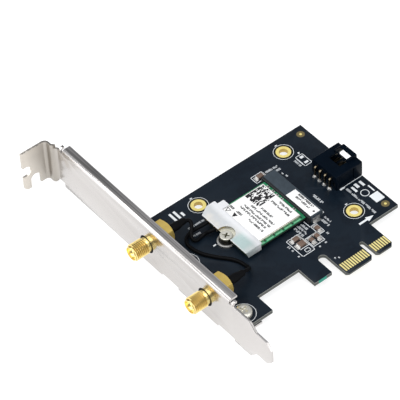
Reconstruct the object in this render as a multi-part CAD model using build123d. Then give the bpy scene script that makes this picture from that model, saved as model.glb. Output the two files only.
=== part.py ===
from build123d import *
import math
import os

# Plug-in wireless network card with its slot bracket, in millimetres.
# X runs from the bracket's outer face into the card, Y from the board's lower edge towards the bracket's tab,
# and Z out of the component side. The component side of the board is the plane Z = 0.

# Circuit board
board_thickness = 1.57
board_reach = 78.7            # bracket's outer face to the board's far edge
board_height = 51.3           # lower edge to upper edge
board_gap = 0.8               # bracket's inner face to the board's near edge
leg_reach = 15.85             # far side of the leg beside the bracket
leg_drop = 7.9
foot_start = 33.9             # foot beside the relief slot
foot_width = 7.65
foot_drop = 8.25
relief_width = 3.35           # slot between the foot and the card edge
plate_thickness = 0.05        # gold and copper proud of the board

# Card edge, one lane
contact_pitch = 1.0
contact_width = 0.7
contact_length = 3.8
contact_setback = 1.1         # contact's end to the card edge's end
near_contacts = 11
far_contacts = 7
near_margin = 0.825           # first contact's centre to the side of its section
far_margin = 0.575
key_width = 1.9
key_depth = 7.9
edge_drop = 12.3
edge_bevel_length = 1.2
edge_bevel_depth = 0.4
edge_corner = 0.9

# Large plated holes
eyelet_bore = 3.2
eyelet_pad = 5.5
eyelet_wall = 0.08
eyelet_near = 27.1            # from the bracket's outer face
eyelet_pitch_x = 38.4
eyelet_low = 7.7              # above the board's lower edge
eyelet_pitch_y = 37.35

# Bracket sheet
sheet = 0.86
bracket_length = 120.02
bracket_width = 18.42
bracket_top = 93.82           # tab's upper face above the board's lower edge
bracket_drop = 4.11           # bracket's lower edge below the component side
bend_radius = 0.5             # inside of the folds
flange_depth = 3.55
flange_start = 21.2           # flange's lower end above the tongue's tip
flange_stop = 8.32            # flange's upper end below the tab's upper face
flange_setback = 1.5          # plate's edge beyond the flange, below the fold
flange_relief = 0.9
flange_stub = 1.0             # short lug left beside each relief
stub_depth = 1.9
shoulder = 10.8               # taper's start above the tongue's tip
shoulder_taper = 3.2
tongue_setback = 3.7          # tongue's lower edge above the bracket's lower edge
tongue_width = 10.2
tongue_corner = 2.4
neck_drop = 8.12              # neck's lower end below the tab's upper face
neck_setback = 1.9            # neck's lower edge above the bracket's lower edge
joggle = 1.65                 # tab end stands out from the plate
joggle_drop = 5.22            # joggle's lower end below the tab's upper face
joggle_run = 1.7
tab_depth = 12.0              # plate's outer face to the tab's outer edge
tab_setback = 0.5             # tab's lower edge above the bracket's lower edge
tab_bend_radius = 1.2
notch_width = 4.42            # screw notch, open to the outside
notch_depth = 3.5
hook_width = 2.9
hook_gap = 4.1                # round-ended gap between the hook and the tab's root
hook_gap_depth = 5.5
hook_corner = 1.2             # cut corner at the hook's end
ear_width = 9.0
ear_overhang = 4.2            # ear beyond its screw
boss_wall = 1.1

# Bracket screws
screw_x = 7.6
screw_low = -2.75
screw_pitch = 29.75
screw_diameter = 3.0
screw_head = 6.0
screw_head_height = 2.0
screw_hole_clearance = 0.2
thread_clearance = 0.05
screw_tip = 1.0               # screw's tip beyond the ear
screw_slot = 0.8

# Antenna connectors
antenna_low = 7.7
antenna_pitch = 31.15
antenna_square = 7.0
antenna_body = 8.5            # square body behind the bracket
antenna_chamfer = 0.9         # turned chamfer that cuts back the body's corners
antenna_face = 6.8            # round land left on the body's end
barrel_diameter = 6.2
barrel_reach = 6.8            # barrel beyond the bracket's outer face
barrel_clearance = 0.4        # round the barrel in the bracket's hole
barrel_relief = 5.5
barrel_relief_length = 1.1
barrel_bore = 4.6
insulator_diameter = 4.1
insulator_setback = 2.2       # insulator's face behind the barrel's mouth
pin_diameter = 1.27
pin_setback = 0.8
spigot_diameter = 1.9
spigot_length = 4.6
insulator_stop = 2.0          # wall left behind the insulator
core_diameter = 0.8
ferrule_wall = 0.35
ferrule_length = 4.0
shrink_wall = 0.3
shrink_length = 7.2

# Coax pigtails
coax_diameter = 1.37
coax_lift = 0.05              # clearance under cables and plugs
coax_grip = 1.6               # cable inside the plug's tail
plug_diameter = 2.3
plug_rise = 1.55              # plug's top above the module
plug_tail = 2.6
plug_tail_width = 1.9
jack_diameter = 1.7
jack_height = 0.6
jack_foot = 0.2
jack_base = 2.4
jack_inset = 2.85             # jack's axis from the module's near end
jack_high = 8.8               # first jack above the module's centre line
jack_pitch = 4.0

# Radio module
module_near = 23.75           # end with the half-round seat, on the screw's axis
module_middle = 25.8          # centre line above the board's lower edge
module_length = 30.0
module_width = 22.0
module_thickness = 0.8
module_lift = 1.5             # module's underside above the board
module_seat = 1.75            # radius of the half-round seat
module_tongue = 19.85
module_tongue_length = 3.9
module_key = 1.2
module_key_offset = 5.0
module_contact_pitch = 0.5
module_contact_width = 0.32
module_contact_length = 2.2
shield_width = 19.8
shield_near = 6.15            # from the module's near end
shield_length = 18.6
shield_height = 1.2
shield_wall = 0.2
label_thickness = 0.1
label_margin = 0.15

# Standoff and screw at the module's end
standoff_diameter = 4.4
standoff_foot = 6.6           # soldered foot
standoff_foot_height = 0.7
module_screw_diameter = 2.0
module_head = 5.0
module_head_height = 0.95
module_screw_length = 1.3     # below the module's underside

# Cover over the plugs
cover_wall = 0.3
cover_bottom = 1.0
cover_length = 6.8
cover_slant = 1.2             # lower corner of the turned-down side
cover_start = 0.85            # in front of the module's near end
cover_side_low = 0.5          # beyond the module's lower side
cover_side_high = 3.05        # beyond the module's upper side
cover_notch = 3.3             # radius of the opening round the screw
cover_corner = 2.2            # slanted corner at the upper front
cover_lug = 3.3               # steps at the upper rear
cover_lug_step = 1.55

# Module socket
socket_length = 25.4
socket_depth = 6.1
socket_height = 3.2
socket_overlap = 3.85         # module inside the socket
socket_fit = 0.12
socket_contact = 0.15
socket_contact_width = 0.2
socket_tail = 0.9
socket_front_wall = 0.9
socket_rear_wall = 0.8
socket_roof = 0.45            # room over the module for the upper contacts
tab_plate = 0.2               # hold-down at each end of the socket
tab_plate_width = 3.2
tab_plate_height = 1.9
tab_plate_foot = 1.1
sticker_length = 13.0
sticker_width = 4.3

# Header
header_inset = 11.6           # housing's back from the board's far edge
header_depth = 11.9
header_middle = 25.1
header_width = 12.7
header_height = 6.4
header_wall = 1.0
header_back = 3.6
header_pitch = 2.54
header_columns = 4
header_pin = 0.64
header_pin_low = 1.9          # lower row above the board
header_leg = 0.9              # outer legs in front of the housing
header_pin_reach = 2.2        # pin ends inside the housing's mouth
header_pin_tail = 1.4         # below the board
header_under = 3.0            # step under the back for the inner legs
header_side_step = 0.5
header_side_front = 3.7
arch_width = 7.1
arch_depth = 4.4
arch_rise = 1.5
arch_wall = 0.65
arch_window = 2.4
arch_bar = 1.8
solder_radius = 0.95
solder_height = 0.7
pin_clearance = 0.04

# Chip parts: middle on the board, length along X or Y
chip_height = 0.85
chip_cap = 0.3
capacitor_places = [
    ((41.75, 10.7), (3.0, 1.7), 0),
    ((41.9, 7.8), (3.2, 2.2), 0),
    ((45.7, 6.9), (2.2, 1.5), 90),
    ((48.2, 7.1), (2.4, 1.5), 90),
    ((50.7, 9.7), (2.4, 1.5), 90),
    ((51.6, 41.3), (3.0, 1.7), 0),
]

# Places worked out from the sizes
board_low = -board_thickness
board_near = sheet + board_gap
foot_end = foot_start + foot_width
edge_start = foot_end + relief_width
near_width = (near_contacts - 1) * contact_pitch + 2 * near_margin
far_width = (far_contacts - 1) * contact_pitch + 2 * far_margin
key_start = edge_start + near_width
far_start = key_start + key_width
edge_end = far_start + far_width
eyelet_places = [
    (eyelet_near, eyelet_low + eyelet_pitch_y),
    (eyelet_near + eyelet_pitch_x, eyelet_low + eyelet_pitch_y),
    (eyelet_near + eyelet_pitch_x, eyelet_low),
]

bracket_low = -bracket_drop
bracket_high = bracket_low + bracket_width
bracket_middle = (bracket_low + bracket_high) / 2
bracket_tip = bracket_top - bracket_length
plate_edge = bracket_high - flange_setback
tab_under = bracket_top - sheet
flange_low = bracket_tip + flange_start
flange_high = bracket_top - flange_stop
neck_low = bracket_top - neck_drop
joggle_low = bracket_top - joggle_drop

screw_places = [(screw_x, screw_low), (screw_x, screw_low + screw_pitch)]
antenna_heights = [antenna_low + antenna_pitch, antenna_low]
body_end = sheet + antenna_body
spigot_end = body_end + spigot_length
shrink_end = body_end + shrink_length
insulator_end = body_end - insulator_stop
ferrule_diameter = spigot_diameter + 2 * ferrule_wall

module_low = module_lift
module_top = module_low + module_thickness
module_far = module_near + module_length
shield_top = module_top + shield_height
jack_places = [
    (module_near + jack_inset, module_middle + jack_high - jack_pitch),
    (module_near + jack_inset, module_middle + jack_high),
]
coax_rest = coax_diameter / 2 + coax_lift
coax_height = module_top + coax_rest
coax_end = jack_places[0][0] - plug_diameter / 2 - plug_tail + coax_grip
plug_top = module_top + plug_rise
socket_near = module_far - socket_overlap
socket_far = socket_near + socket_depth
socket_front = socket_near + socket_front_wall
socket_rear = socket_far - socket_rear_wall
header_near = board_reach - header_inset
header_far = header_near + header_depth
header_low_side = header_middle - header_width / 2
header_high_side = header_middle + header_width / 2
pin_row_places = [
    header_middle + (column - (header_columns - 1) / 2) * header_pitch
    for column in range(header_columns)
]
outer_leg = header_near - header_leg
inner_leg = outer_leg + header_pitch


def block(x0, x1, y0, y1, z0, z1):
    return Pos((x0 + x1) / 2, (y0 + y1) / 2, (z0 + z1) / 2) * Box(x1 - x0, y1 - y0, z1 - z0)


def rod(x, y, z0, z1, diameter):
    return Pos(x, y, (z0 + z1) / 2) * Cylinder(diameter / 2, z1 - z0)


def bar(x0, x1, y, z, diameter):
    return Pos((x0 + x1) / 2, y, z) * (Rot(0, 90, 0) * Cylinder(diameter / 2, x1 - x0))


def along_y(section, y0, y1):
    return extrude(Plane.XZ.offset(-y1) * section, amount=y1 - y0)


def folded(points, radius):
    return trace(FilletPolyline(*points, radius=radius), line_width=sheet)


def fold_flange(y0, y1, depth):
    line = [
        (sheet / 2, plate_edge - sheet),
        (sheet / 2, bracket_high - sheet / 2),
        (depth, bracket_high - sheet / 2),
    ]
    return along_y(folded(line, bend_radius + sheet / 2), y0, y1)


def bracket_plate():
    tongue_low = bracket_low + tongue_setback
    tongue_high = tongue_low + tongue_width
    taper_start = bracket_tip + shoulder
    taper_end = taper_start - shoulder_taper
    outline = [
        (bracket_tip + tongue_corner, tongue_low),
        (taper_end, tongue_low),
        (taper_start, bracket_low),
        (neck_low, bracket_low),
        (neck_low, bracket_low + neck_setback),
        (joggle_low, bracket_low + neck_setback),
        (joggle_low, plate_edge),
        (taper_start, plate_edge),
        (taper_end, tongue_high),
        (bracket_tip + tongue_corner, tongue_high),
        (bracket_tip, tongue_high - tongue_corner),
        (bracket_tip, tongue_low + tongue_corner),
    ]
    return extrude(Plane.YZ * make_face(Polyline(*outline, close=True)), amount=sheet)


def bracket_tab():
    outer = -tab_depth
    line = [
        (sheet / 2, joggle_low - sheet),
        (sheet / 2, joggle_low),
        (sheet / 2 - joggle, joggle_low + joggle_run),
        (sheet / 2 - joggle, bracket_top - sheet / 2),
        (outer, bracket_top - sheet / 2),
    ]
    tab_low = bracket_low + tab_setback
    tab = Pos(0, 0, tab_low) * extrude(folded(line, tab_bend_radius + sheet / 2), amount=bracket_high - tab_low)
    neck_high = joggle_low + joggle_run / 2
    tab -= block(outer, sheet * 2, neck_low - 1, neck_high, tab_low - 1, bracket_low + neck_setback)
    tab -= block(outer, sheet * 2, neck_low - 1, neck_high, plate_edge, bracket_high + 1)
    notch_end = outer + notch_depth - notch_width / 2
    cut_low = tab_under - 1
    cut_high = bracket_top + 1
    half = notch_width / 2
    tab -= block(outer - 1, notch_end, cut_low, cut_high, bracket_middle - half, bracket_middle + half)
    tab -= Pos(notch_end, tab_under, bracket_middle) * (Rot(90, 0, 0) * Cylinder(half, 4 * sheet))
    gap_start = outer + hook_width
    gap_middle = gap_start + hook_gap / 2
    gap_round = tab_low + hook_gap_depth - hook_gap / 2
    tab -= block(gap_start, gap_start + hook_gap, cut_low, cut_high, tab_low - 1, gap_round)
    tab -= Pos(gap_middle, tab_under, gap_round) * (Rot(90, 0, 0) * Cylinder(hook_gap / 2, 4 * sheet))
    tip = [(outer - 1, tab_low - 1), (outer + hook_corner + 1, tab_low - 1), (outer - 1, tab_low + hook_corner + 1)]
    return tab - along_y(make_face(Polyline(*tip, close=True)), cut_low, cut_high)


def bracket_ear(y):
    y0 = y - ear_width / 2
    y1 = y + ear_width / 2
    fold = bend_radius + sheet
    line = [
        (sheet / 2, bracket_low + fold + sheet),
        (sheet / 2, bracket_low + sheet / 2),
        (screw_x + ear_overhang, bracket_low + sheet / 2),
    ]
    ear = along_y(folded(line, bend_radius + sheet / 2), y0, y1)
    return ear + rod(screw_x, y, bracket_low, board_low, screw_diameter + 2 * boss_wall)


def make_bracket():
    body = bracket_plate()
    fold = bend_radius + sheet
    for x, y in screw_places:
        y0 = y - ear_width / 2
        body -= block(-1, fold, y0, y0 + ear_width, bracket_low - 1, bracket_low + fold)
        body += bracket_ear(y)
    body += fold_flange(flange_low, flange_high, flange_depth)
    stub_low = flange_low - flange_relief
    stub_high = flange_high + flange_relief
    body += fold_flange(stub_low - flange_stub, stub_low, stub_depth)
    body += fold_flange(stub_high, stub_high + flange_stub, stub_depth)
    body += bracket_tab()
    for x, y in screw_places:
        body -= rod(x, y, bracket_low - 1, board_low + 1, screw_diameter + 2 * thread_clearance)
    for y in antenna_heights:
        body -= bar(-1, sheet + 1, y, bracket_middle, barrel_diameter + 2 * barrel_clearance)
    return body


def make_bracket_screws():
    screws = []
    for x, y in screw_places:
        head = rod(x, y, 0, screw_head_height, screw_head)
        head = fillet(head.edges().group_by(Axis.Z)[-1], screw_head_height * 0.55)
        screw = head + rod(x, y, bracket_low - screw_tip, 0.1, screw_diameter)
        for turn in (0, 90):
            slot = Box(screw_head * 0.56, screw_slot, screw_head_height)
            screw -= Pos(x, y, screw_head_height) * (Rot(0, 0, turn + 20) * slot)
        screws.append(screw)
    return Compound(children=screws)


def edge_section(x0, x1):
    c = edge_corner
    low = -edge_drop
    points = [(x0, 0.5), (x0, low + c), (x0 + c, low), (x1 - c, low), (x1, low + c), (x1, 0.5)]
    return Pos(0, 0, board_low) * extrude(make_face(Polyline(*points, close=True)), amount=board_thickness)


def make_board():
    body = block(board_near, board_reach, 0, board_height, board_low, 0)
    body += block(board_near, leg_reach, -leg_drop, 1, board_low, 0)
    body += block(foot_start, edge_start + 1, -foot_drop, 1, board_low, 0)
    body += edge_section(edge_start, key_start)
    body += edge_section(far_start, edge_end)
    relief = relief_width / 2
    body -= block(foot_end, edge_start, -edge_drop, -relief, board_low - 1, 1)
    body -= rod(foot_end + relief, -relief, board_low - 1, 1, relief_width)
    key_top = key_depth - edge_drop
    body += block(key_start - 1, far_start + 1, key_top - key_width / 2, 1, board_low, 0)
    body -= rod(key_start + key_width / 2, key_top - key_width / 2, board_low - 1, 1, key_width)
    for face, inward in ((0, -1), (board_low, 1)):
        wedge = [
            (-edge_drop - 0.1, face),
            (-edge_drop + edge_bevel_length, face),
            (-edge_drop - 0.1, face + inward * edge_bevel_depth),
        ]
        cut = extrude(Plane.YZ * make_face(Polyline(*wedge, close=True)), amount=edge_end - edge_start + 2)
        body -= Pos(edge_start - 1, 0, 0) * cut
    for x, y in eyelet_places:
        body -= rod(x, y, board_low - 1, 1, eyelet_bore + 2 * eyelet_wall)
    for x, y in screw_places:
        body -= rod(x, y, board_low - 1, 1, screw_diameter + 2 * screw_hole_clearance)
    for y in pin_row_places:
        for x in (outer_leg, inner_leg):
            body -= rod(x, y, board_low - 1, 1, header_pin * 1.5)
    return body


def make_edge_contacts(z):
    y1 = -edge_drop + contact_setback + contact_length
    middles = [edge_start + near_margin + n * contact_pitch for n in range(near_contacts)]
    middles += [far_start + far_margin + n * contact_pitch for n in range(far_contacts)]
    half = contact_width / 2
    y0 = max(y1 - contact_length, -edge_drop + edge_bevel_length)
    return Compound(children=[block(x - half, x + half, y0, y1, z, z + plate_thickness) for x in middles])


def make_eyelets():
    rings = []
    for x, y in eyelet_places:
        ring = rod(x, y, board_low - plate_thickness, plate_thickness, eyelet_bore + 2 * eyelet_wall)
        ring += rod(x, y, 0, plate_thickness, eyelet_pad)
        ring += rod(x, y, board_low - plate_thickness, board_low, eyelet_pad)
        ring -= rod(x, y, board_low - 1, 1, eyelet_bore)
        rings.append(ring)
    return Compound(children=rings)


def make_antenna_body(y):
    z = bracket_middle
    square = Pos((sheet + body_end) / 2, y, z) * Box(antenna_body, antenna_square, antenna_square)
    corner = antenna_square * 0.75
    shoulder_end = body_end - antenna_chamfer
    turned = bar(0, shoulder_end, y, z, 2 * corner)
    cone = Rot(0, 90, 0) * Cone(corner, antenna_face / 2, antenna_chamfer)
    turned += Pos(body_end - antenna_chamfer / 2, y, z) * cone
    body = square & turned
    body += bar(-barrel_reach, sheet + 0.5, y, z, barrel_diameter)
    groove = bar(-barrel_relief_length, sheet, y, z, barrel_diameter + 1)
    groove -= bar(-barrel_relief_length - 1, sheet + 1, y, z, barrel_relief)
    body -= groove
    body = chamfer(body.edges().group_by(Axis.X)[0], 0.3)
    body += bar(body_end - 0.5, spigot_end, y, z, spigot_diameter)
    mouth = -barrel_reach + insulator_setback
    body -= bar(-barrel_reach - 1, mouth, y, z, barrel_bore)
    body -= bar(mouth - 0.5, insulator_end, y, z, insulator_diameter)
    return body - bar(insulator_end - 0.5, spigot_end + 1, y, z, core_diameter)


def make_insulator(y):
    z = bracket_middle
    tube = bar(-barrel_reach + insulator_setback, insulator_end, y, z, insulator_diameter)
    return tube - bar(-barrel_reach, insulator_end + 1, y, z, pin_diameter)


def make_pin(y):
    z = bracket_middle
    pin = bar(-barrel_reach + pin_setback, insulator_end, y, z, pin_diameter)
    pin = fillet(pin.edges().group_by(Axis.X)[0], pin_diameter * 0.3)
    return pin + bar(insulator_end - 0.5, spigot_end, y, z, core_diameter)


def make_ferrules():
    z = bracket_middle
    tubes = []
    for y in antenna_heights:
        tube = bar(body_end, body_end + ferrule_length, y, z, ferrule_diameter)
        tubes.append(tube - bar(body_end - 1, body_end + ferrule_length + 1, y, z, spigot_diameter))
    return Compound(children=tubes)


def make_shrink(y):
    z = bracket_middle
    sleeve = bar(body_end, shrink_end, y, z, ferrule_diameter + 2 * shrink_wall)
    sleeve = fillet(sleeve.edges().group_by(Axis.X)[-1], 0.35)
    sleeve -= bar(body_end - 1, body_end + ferrule_length, y, z, ferrule_diameter)
    sleeve -= bar(body_end + ferrule_length - 0.5, spigot_end, y, z, spigot_diameter)
    return sleeve - bar(spigot_end - 0.5, shrink_end + 1, y, z, coax_diameter)


def cable_path(points):
    edges = []
    start = Vector(*points[0])
    corners = [Vector(*p) for p in points]
    for before, corner, after in zip(corners, corners[1:], corners[2:]):
        inward = (corner - before).normalized()
        outward = (after - corner).normalized()
        run = 0.45 * min((corner - before).length, (after - corner).length)
        half = math.acos(max(-1, min(1, inward.dot(outward)))) / 2
        radius = run / math.tan(half)
        print("bend radius", round(radius, 2), "turn", round(math.degrees(2 * half)))
        first = corner - inward * run
        last = corner + outward * run
        middle = (outward - inward).normalized()
        arc = corner + middle * (radius / math.cos(half) - radius)
        edges.append(Edge.make_line(start, first))
        edges.append(Edge.make_three_point_arc(first, arc, last))
        start = last
    edges.append(Edge.make_line(start, corners[-1]))
    return Wire(edges)


def make_cable(points):
    path = cable_path(points)
    start = Vector(*points[0])
    profile = Plane(origin=start, z_dir=Vector(*points[1]) - start) * Circle(coax_diameter / 2)
    tube = sweep(profile, path=path)
    section = math.pi * coax_diameter ** 2 / 4
    print("cable length", round(path.length, 2), "volume ratio", round(tube.volume / section / path.length, 4))
    return tube


def make_plug(place):
    x, y = place
    low = module_top + jack_foot
    half = plug_tail_width / 2
    end = x - plug_diameter / 2 - plug_tail
    body = rod(x, y, low, plug_top, plug_diameter) + block(end, x, y - half, y + half, low, plug_top)
    body += block(end, x - jack_base / 2 - coax_lift, y - half, y + half, module_top + coax_lift, low + coax_lift)
    body -= rod(x, y, module_top, module_top + jack_height + coax_lift, jack_diameter + 2 * coax_lift)
    slot = coax_diameter * 0.45
    body -= block(end - 1, coax_end, y - slot, y + slot, module_top - 1, coax_height)
    return body - bar(end - 1, coax_end, y, coax_height, coax_diameter)


def make_jacks():
    jacks = []
    for x, y in jack_places:
        half = jack_base / 2
        jack = block(x - half, x + half, y - half, y + half, module_top, module_top + jack_foot)
        ring = rod(x, y, module_top, module_top + jack_height, jack_diameter)
        ring -= rod(x, y, module_top + jack_foot, module_top + 1, jack_diameter * 0.7)
        jacks.append(jack + ring + rod(x, y, module_top, module_top + jack_height * 0.8, jack_diameter * 0.25))
    return Compound(children=jacks)


def make_module_board():
    side = module_width / 2
    body = block(
        module_near, module_far - module_tongue_length, module_middle - side, module_middle + side,
        module_low, module_top,
    )
    half = module_tongue / 2
    body += block(module_near + 1, module_far, module_middle - half, module_middle + half, module_low, module_top)
    body -= rod(module_near, module_middle, 0, module_top + 1, 2 * module_seat)
    key = module_middle + module_key_offset
    key_end = module_far - module_tongue_length + module_key / 2
    body -= block(key_end, module_far + 1, key - module_key / 2, key + module_key / 2, 0, module_top + 1)
    return body - rod(key_end, key, 0, module_top + 1, module_key)


def module_rows():
    count = int((module_tongue - 2 * module_contact_width) / module_contact_pitch)
    rows = []
    for n in range(count):
        y = module_middle + (n - (count - 1) / 2) * module_contact_pitch
        clear = abs(y - module_middle - module_key_offset) - module_contact_width / 2
        if clear > module_key / 2 + 0.1:
            rows.append(y)
    return rows


def make_module_contacts():
    half = module_contact_width / 2
    pads = []
    for y in module_rows():
        for z in (module_top, module_low - plate_thickness):
            pads.append(
                block(module_far - module_contact_length, module_far - 0.3, y - half, y + half, z, z + plate_thickness)
            )
    return Compound(children=pads)


def make_shield():
    half = shield_width / 2
    x0 = module_near + shield_near
    x1 = x0 + shield_length
    y0 = module_middle - half
    y1 = module_middle + half
    can = block(x0, x1, y0, y1, module_top, shield_top)
    can = fillet(can.edges().group_by(Axis.Z)[-1], 0.25)
    w = shield_wall
    can -= block(x0 + w, x1 - w, y0 + w, y1 - w, module_top - 1, shield_top - w)
    slit = 2 * w
    for x in (x0, x1):
        for y in (y0, y1):
            can -= block(x - slit, x + slit, y - slit, y + slit, module_top - 1, shield_top - 2 * w)
    return can


def make_module_chip():
    half = shield_width * 0.22
    x = module_near + shield_near + shield_length / 2
    top = shield_top - shield_wall - 0.2
    return block(x - half, x + half, module_middle - half, module_middle + half, module_top, top)


def make_module_label():
    half = shield_width / 2 - 2 * label_margin
    x0 = module_near + shield_near + 2 * label_margin
    x1 = x0 + shield_length - 4 * label_margin
    return block(x0, x1, module_middle - half, module_middle + half, shield_top, shield_top + label_thickness)


def make_standoff():
    post = rod(module_near, module_middle, 0, module_low, standoff_diameter)
    post += rod(module_near, module_middle, 0, standoff_foot_height, standoff_foot)
    post += rod(module_near, module_middle, 0, module_top - 0.05, 2 * module_seat - 0.2)
    return post - rod(module_near, module_middle, -1, module_top + 1, module_screw_diameter + 2 * thread_clearance)


def make_module_screw():
    x = module_near
    y = module_middle
    head = rod(x, y, module_top, module_top + module_head_height, module_head)
    head = fillet(head.edges().group_by(Axis.Z)[-1], 0.3)
    screw = head + rod(x, y, module_low - module_screw_length, module_top + 0.1, module_screw_diameter)
    for turn in (0, 90):
        slot = Box(module_head * 0.5, 0.6, module_head_height)
        screw -= Pos(x, y, module_top + module_head_height) * (Rot(0, 0, turn + 35) * slot)
    return screw


def make_cover():
    x0 = module_near - cover_start
    x1 = x0 + cover_length
    side = module_width / 2
    y0 = module_middle - side - cover_side_low
    y1 = module_middle + side + cover_side_high
    w = cover_wall
    y2 = y1 - cover_lug_step
    y3 = y2 - 2 * cover_lug_step
    outline = [
        (x0, y0),
        (x1, y0),
        (x1, y3),
        (x1 + cover_lug, y3),
        (x1 + cover_lug, y2),
        (x1 + 0.6, y2),
        (x1 + 0.6, y1),
        (x0 + 1.7 * cover_corner, y1),
        (x0, y1 - cover_corner),
    ]
    sheet_face = make_face(Polyline(*outline, close=True))
    top = Pos(0, 0, plug_top) * extrude(sheet_face, amount=w)
    corners = top.edges().filter_by(Axis.Z)
    top = fillet(corners.group_by(Axis.Y)[-1] + corners.group_by(Axis.X)[-1].group_by(Axis.Y)[-1:][0], 0.5)
    wall = [(x0, plug_top + w), (x1, plug_top + w), (x1, cover_bottom), (x0 + cover_slant, cover_bottom)]
    low = along_y(make_face(Polyline(*wall, close=True)), y0, y0 + w)
    clip = block(x1 - 2, x1, y0, module_middle - side + 2 * w, cover_bottom, module_low - coax_lift)
    rear = block(x1 - w, x1, y0, module_middle + side, module_top, plug_top + w)
    body = top + low + clip + rear
    return body - rod(module_near, module_middle, module_top, plug_top + 1, 2 * cover_notch)


def socket_span():
    rows = module_rows()
    return min(rows) - module_contact_pitch / 2, max(rows) + module_contact_pitch / 2


def make_socket_housing():
    half = socket_length / 2
    y0 = module_middle - half
    y1 = module_middle + half
    body = block(socket_near, socket_far, y0, y1, 0, socket_height)
    body = chamfer(body.edges().group_by(Axis.Z)[-1], 0.2)
    mouth = module_tongue / 2 + socket_fit
    body -= block(
        socket_near - 1, module_far + socket_fit, module_middle - mouth, module_middle + mouth,
        module_low - socket_fit, module_top + socket_fit,
    )
    low, high = socket_span()
    body -= block(socket_front, socket_rear, low, high, -1, module_top + socket_roof)
    body -= block(socket_near - 1, socket_far + 1, low, high, -1, socket_contact + pin_clearance)
    key = module_middle + module_key_offset
    rib = module_key / 2 - socket_fit
    ceiling = module_top + socket_roof + 0.1
    body += block(socket_front, module_far, key - rib, key + rib, module_low - 0.4, ceiling)
    return body


def make_socket_contacts():
    t = socket_contact
    half = socket_contact_width / 2
    top = module_top + plate_thickness
    low = module_low - plate_thickness
    pieces = []
    for y in module_rows():
        y0 = y - half
        y1 = y + half
        upper = block(module_far - module_contact_length + 0.6, socket_rear, y0, y1, top, top + t)
        upper += block(socket_rear - t, socket_rear, y0, y1, 0, top + t)
        upper += block(socket_rear - t, socket_far + socket_tail, y0, y1, 0, t)
        lower = block(socket_front, module_far - 0.5, y0, y1, low - t, low)
        lower += block(socket_front, socket_front + t, y0, y1, 0, low)
        lower += block(socket_near - socket_tail, socket_front + t, y0, y1, 0, t)
        pieces += [upper, lower]
    return Compound(children=pieces)


def make_socket_tabs():
    x = (socket_near + socket_far) / 2
    half = tab_plate_width / 2
    tabs = []
    for side in (-1, 1):
        face = module_middle + side * socket_length / 2
        outside = face + side * tab_plate
        foot = face + side * tab_plate_foot
        tab = block(x - half, x + half, min(face, outside), max(face, outside), 0, tab_plate_height)
        tabs.append(tab + block(x - half, x + half, min(face, foot), max(face, foot), 0, tab_plate))
    return Compound(children=tabs)


def make_sticker():
    x = (socket_near + socket_far) / 2
    y0 = module_middle - socket_length / 2 + 0.3
    half = sticker_width / 2
    return block(x - half, x + half, y0, y0 + sticker_length, socket_height, socket_height + label_thickness)


def make_header_housing():
    y0 = header_low_side
    y1 = header_high_side
    body = block(header_near, header_far, y0, y1, 0, header_height)
    body = chamfer(body.edges().group_by(Axis.Z)[-1].filter_by(Axis.X), 0.3)
    arch_half = arch_width / 2
    arch_start = header_far - arch_depth
    arch_top = header_height + arch_rise
    arch = block(
        arch_start, header_far, header_middle - arch_half, header_middle + arch_half,
        header_height - 0.1, arch_top,
    )
    body += fillet(arch.edges().group_by(Axis.Z)[-1].filter_by(Axis.X), 0.5)
    inner = header_width / 2 - header_wall
    back = header_near + header_back
    body -= block(
        back, header_far + 1, header_middle - inner, header_middle + inner, header_wall, header_height - header_wall,
    )
    slot = arch_half - arch_wall
    low = header_middle - slot
    high = header_middle + slot
    body -= block(back + header_wall, header_far + 1, low, high, header_wall, header_height + 0.01)
    body -= block(arch_start - 1, header_far + 1, low, high, header_wall, arch_top - arch_wall)
    body -= block(header_far - arch_bar - arch_window, header_far - arch_bar, low, high, header_wall, arch_top + 1)
    for side, inward in ((y0, 1), (y1, -1)):
        step = side + inward * header_side_step
        a = min(side - inward, step)
        b = max(side - inward, step)
        body -= block(
            header_near + header_wall, header_far - header_side_front, a, b,
            header_wall * 0.8, header_height - header_wall * 0.6,
        )
    body -= block(
        header_near - 1, back - header_wall, header_middle - inner, header_middle + inner, -1, header_under,
    )
    hole = header_pin + 2 * pin_clearance
    for y in pin_row_places:
        for z in (header_pin_low, header_pin_low + header_pitch):
            body -= Pos(back - header_back / 2, y, z) * Box(header_back * 2, hole, hole)
    return body


def make_header_pins():
    pins = []
    for y in pin_row_places:
        for leg, z in ((inner_leg, header_pin_low), (outer_leg, header_pin_low + header_pitch)):
            line = FilletPolyline(
                (header_far - header_pin_reach, z), (leg, z), (leg, board_low - header_pin_tail), radius=header_pin,
            )
            section = trace(line, line_width=header_pin)
            pins.append(along_y(section, y - header_pin / 2, y + header_pin / 2))
    return Compound(children=pins)


def make_header_solder():
    pieces = []
    hole = header_pin
    for y in pin_row_places:
        top = Pos(outer_leg, y, solder_height / 2) * Cone(solder_radius, header_pin * 0.75, solder_height)
        pieces.append(top - Pos(outer_leg, y, 0) * Box(hole, hole, 4 * solder_height))
        for leg in (outer_leg, inner_leg):
            z = board_low - solder_height / 2
            under = Pos(leg, y, z) * Cone(header_pin * 0.75, solder_radius, solder_height)
            pieces.append(under - Pos(leg, y, z) * Box(hole, hole, 4 * solder_height))
    return Compound(children=pieces)


def chip_block(place, turn, x0, x1, width, height):
    piece = block(x0, x1, -width / 2, width / 2, 0, height)
    return Pos(place[0], place[1], 0) * (Rot(0, 0, turn) * piece)


def make_chip_bodies(places, height):
    bodies = []
    for place, size, turn in places:
        reach = size[0] / 2 - chip_cap
        bodies.append(chip_block(place, turn, -reach, reach, size[1], height))
    return Compound(children=bodies)


def make_chip_caps(places, height):
    caps = []
    for place, size, turn in places:
        half = size[0] / 2
        caps.append(chip_block(place, turn, -half, chip_cap - half, size[1], height))
        caps.append(chip_block(place, turn, half - chip_cap, half, size[1], height))
    return Compound(children=caps)


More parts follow.
